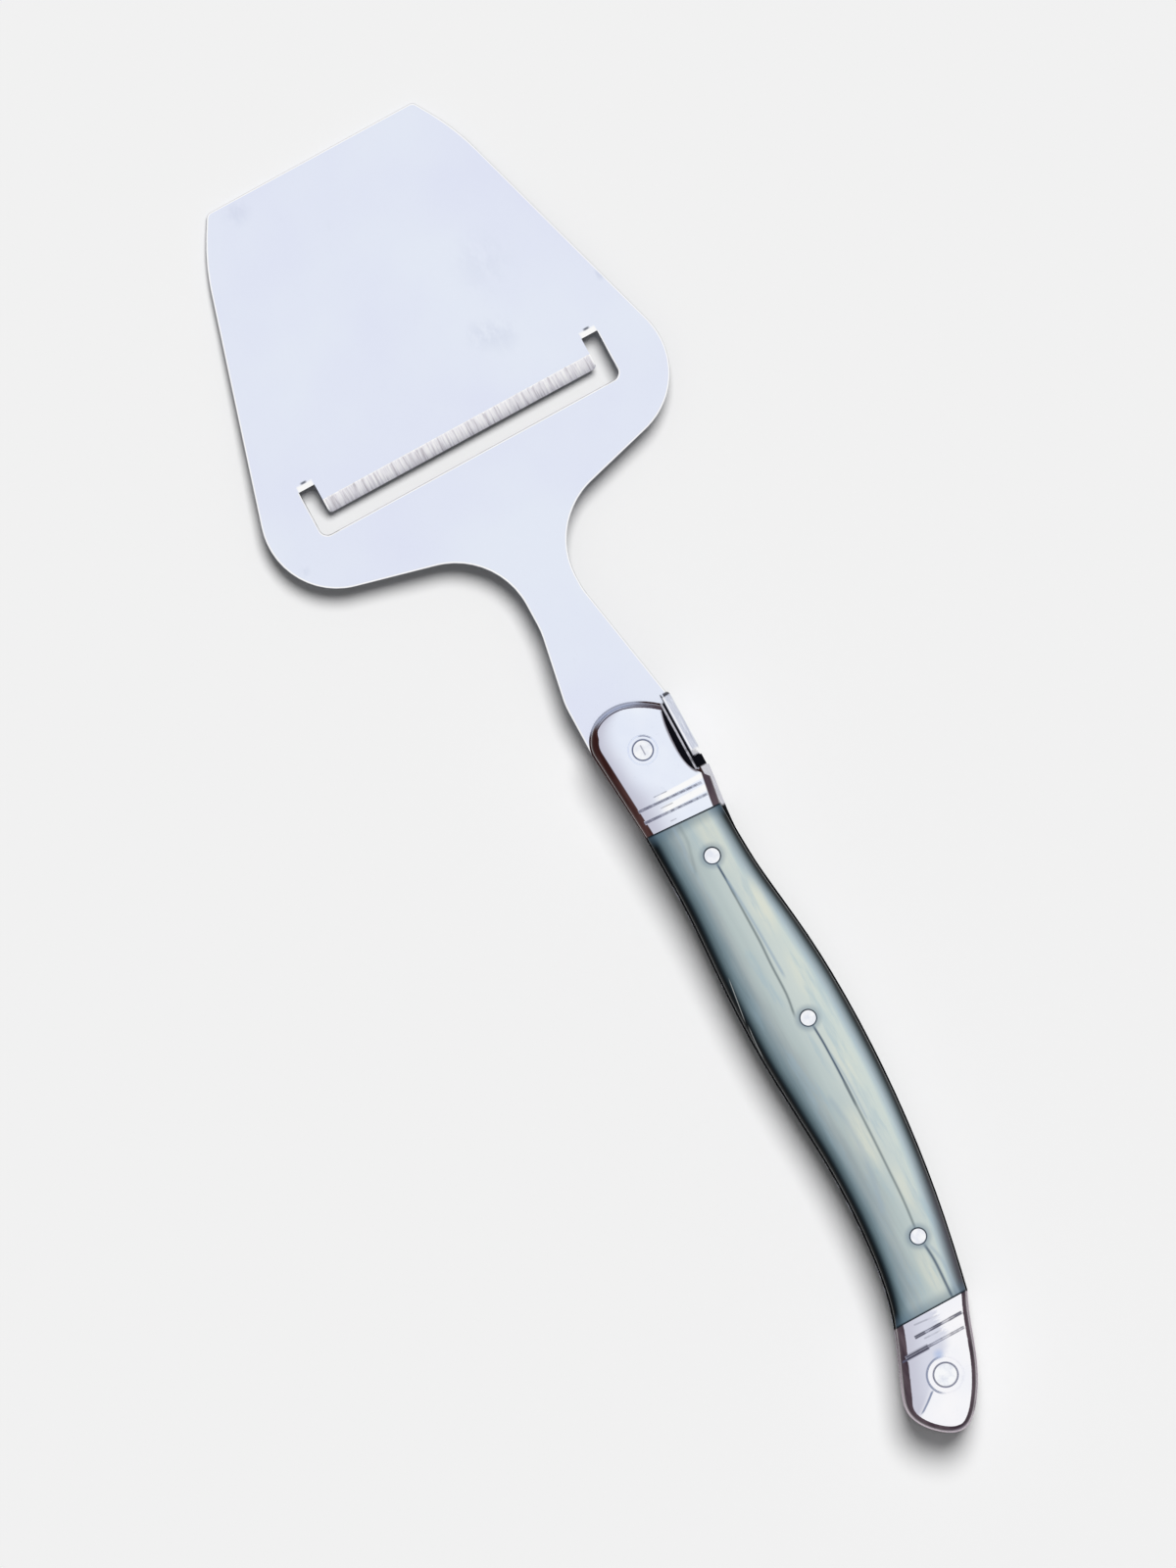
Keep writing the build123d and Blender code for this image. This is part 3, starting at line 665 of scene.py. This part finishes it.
def horn_ground(n, to_belly, to_back, streak, cloud):
    """Tone of the resin by the distances from its edges, which drift along the grain; darker edges partly
    painted shade.
    """
    drift = n.sum("MULTIPLY", n.sum("SUBTRACT", streak, 0.5), 2.4)
    drift = n.sum("ADD", drift, n.sum("MULTIPLY", n.sum("SUBTRACT", cloud, 0.5), 3.6))
    depth = n.sum("ADD", to_belly, n.sum("MULTIPLY", n.step(to_belly, 0.0, 5.0), drift))
    from_belly = n.ramp(n.sum("DIVIDE", depth, belly_depth), belly_tones)
    shift = n.sum("MULTIPLY", n.step(to_back, 0.5, 3.0), n.sum("SUBTRACT", streak, 0.5))
    from_back = n.ramp(n.sum("DIVIDE", n.sum("ADD", to_back, shift), back_depth), back_tones)
    return n.darker(from_belly, from_back)


def add_cream(n, tone, bluish, inner):
    """Creamier patches, broken up by the bluish grain."""
    for place, reach, strength in cream_patches:
        near = n.step(n.away(place, patch_stretch), 0.2 * reach, reach, strength, 0.0)
        patch = n.sum("MULTIPLY", near, n.step(bluish, 0.65, 0.4))
        tone = n.mix(n.sum("MULTIPLY", patch, inner), tone, (0.72, 0.735, 0.63))
    return tone


def add_veins(n, tone, leaning):
    """Veins and scratches along the top of the resin."""
    on_top = n.step(leaning, 0.12, 0.3)
    for points, width, strength, colour in veins:
        gap = n.sum("ABSOLUTE", n.sum("SUBTRACT", n.y, n.line(points)))
        reach = n.sum("MULTIPLY", n.band(n.x, points[-1][0], points[0][0], 0.8), on_top)
        vein = n.sum("MULTIPLY", n.step(gap, 0.0, width, strength, 0.0), reach)
        tone = n.mix(vein, tone, colour)
    return tone


def horn_resin():
    """Glossy resin with the look of horn: cream towards the back, green grey and dark towards the belly,
    partly painted shade.
    """
    n = Nodes("horn_resin")
    to_belly = n.sum("SUBTRACT", n.line(tuple(zip(stations, belly_line))), n.y)
    to_back = n.sum("SUBTRACT", n.y, n.line(tuple(zip(stations, back_line))))
    inner = n.sum("MULTIPLY", n.step(to_belly, 0.9, 3.5), n.step(to_back, 0.4, 2.0))
    leaning = n.sum("ABSOLUTE", n.nz)
    streak = n.noise(1.6, 4.0, (16.0, 1.0, 1.0), 0.6)
    cloud = n.noise(9.0, 3.0, (2.5, 1.0, 1.0))
    bluish = n.noise(2.4, 4.0, (7.0, 1.0, 1.0), 0.65)
    fleck = n.noise(0.5, 3.0, (3.0, 1.0, 1.0), 0.7)
    tone = horn_ground(n, to_belly, to_back, streak, cloud)
    blue_grain = n.sum("MULTIPLY", n.step(bluish, 0.5, 0.68, 0.0, 0.38), inner)
    tone = n.mix(blue_grain, tone, (0.34, 0.47, 0.56))
    tone = add_cream(n, tone, bluish, inner)
    # Purplish tone on the dark rear of the back edge, partly painted shade
    at_rear_back = n.sum("MULTIPLY", n.step(n.x, *rear_back_x, 0.0, 0.6), n.step(to_back, 2.2, 0.3))
    tone = n.mix(at_rear_back, tone, (0.105, 0.098, 0.118))
    seam_place = n.sum("MULTIPLY_ADD", n.y, seam_lean, grip_front)
    to_seam = n.sum("MINIMUM", n.sum("SUBTRACT", seam_place, n.x), n.sum("SUBTRACT", n.x, grip_rear))
    tone = n.mix(n.step(to_seam, 0.2, 2.4, 0.5, 0.0), tone, (0.10, 0.165, 0.225))
    # Darker steep walls, partly the resin's own dark tone and partly painted shade
    wall = n.ramp(streak, ((0.35, (0.016, 0.024, 0.027)), (0.65, (0.070, 0.095, 0.103))))
    tone = n.mix(n.step(leaning, 0.28, 0.05, 0.0, 1.0), tone, wall)
    tone = add_veins(n, tone, leaning)
    to_pin = n.away(scale_pins[0])
    for place in scale_pins[1:]:
        to_pin = n.sum("MINIMUM", to_pin, n.away(place))
    tone = n.mix(n.step(to_pin, 1.4, 2.5, 0.5, 0.0), tone, (0.15, 0.22, 0.30))
    tone = n.mix(n.step(to_pin, 1.32, 1.5, 0.9, 0.0), tone, (0.035, 0.06, 0.10))
    tone = n.mix(n.step(to_seam, 0.12, 0.4, 1.0, 0.0), tone, (0.012, 0.018, 0.026))
    flecks = n.sum("MULTIPLY", n.step(fleck, 0.62, 0.8, 0.0, 0.12), inner)
    tone = n.mix(flecks, tone, (0.62, 0.66, 0.62))
    n.bump(n.sum("ADD", cloud, n.sum("MULTIPLY", fleck, 0.05)), 0.15, 0.0001)
    return n.finish(
        Base_Color=tone,
        Roughness=n.step(fleck, 0.3, 0.7, 0.16, 0.24),
        Specular_IOR_Level=0.02,
        Coat_Weight=0.03,
        Coat_Roughness=0.05,
    )


# Each finish and the words in the names of the nodes that have it, the first that fits
finishes = (
    (pin_steel(), ("_pin",)),
    (bolster_steel(), ("bolster",)),
    (horn_resin(), ("scale",)),
    (head_steel(), ("spring_head",)),
    (liner_steel(), ("liner", "back_spring")),
    (blade_steel(), ("blade",)),
)
for name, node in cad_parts.items():
    finish = next(each for each, words in finishes if any(word in name for word in words))
    node.data.materials.clear()
    node.data.materials.append(finish)

# Floor
bpy.ops.mesh.primitive_plane_add(size=floor_size, location=(0, 0, 0))
floor = bpy.context.object
floor.name = "floor"
paper = bpy.data.materials.new("floor_paper")
paper.use_nodes = True
surface = paper.node_tree.nodes["Principled BSDF"]
surface.inputs["Base Color"].default_value = (*floor_colour, 1.0)
surface.inputs["Roughness"].default_value = 1.0
surface.inputs["Specular IOR Level"].default_value = 0.0
floor.data.materials.append(paper)

# Key light
key_data = bpy.data.lights.new("key", "SUN")
key_data.energy = key_strength
key_data.angle = key_angle
key = bpy.data.objects.new("key", key_data)
key.rotation_euler = (0, math.atan(math.hypot(*key_reach[:2])), math.atan2(key_reach[1], key_reach[0]))
key.visible_glossy = False
bpy.context.collection.objects.link(key)

# Surround: dim for lighting, pale where the camera, metal and gloss see it
world = bpy.data.worlds.new("surround")
bpy.context.scene.world = world
world.use_nodes = True
sky = world.node_tree
paths = sky.nodes.new("ShaderNodeLightPath")
seen = sky.nodes.new("ShaderNodeMath")
seen.operation = "MAXIMUM"
sky.links.new(paths.outputs["Is Camera Ray"], seen.inputs[0])
sky.links.new(paths.outputs["Is Glossy Ray"], seen.inputs[1])
seen_all = sky.nodes.new("ShaderNodeMath")
seen_all.operation = "MAXIMUM"
sky.links.new(seen.outputs[0], seen_all.inputs[0])
sky.links.new(paths.outputs["Is Transmission Ray"], seen_all.inputs[1])
level = sky.nodes.new("ShaderNodeMapRange")
sky.links.new(seen_all.outputs[0], level.inputs[0])
level.inputs[3].default_value = surround_strength
level.inputs[4].default_value = seen_strength
background = sky.nodes["Background"]
background.inputs["Color"].default_value = (1.0, 1.0, 1.0, 1.0)
sky.links.new(level.outputs[0], background.inputs["Strength"])

# Camera
camera_data = bpy.data.cameras.new("camera")
camera_data.sensor_width = sensor_size
camera_data.lens = sensor_size * camera_distance / view_height
camera = bpy.data.objects.new("camera", camera_data)
camera.location = (*view_centre, focus_height + camera_distance)
camera.rotation_euler = (0, 0, view_turn)
bpy.context.collection.objects.link(camera)
bpy.context.scene.camera = camera
bpy.context.scene.view_settings.view_transform = "Standard"
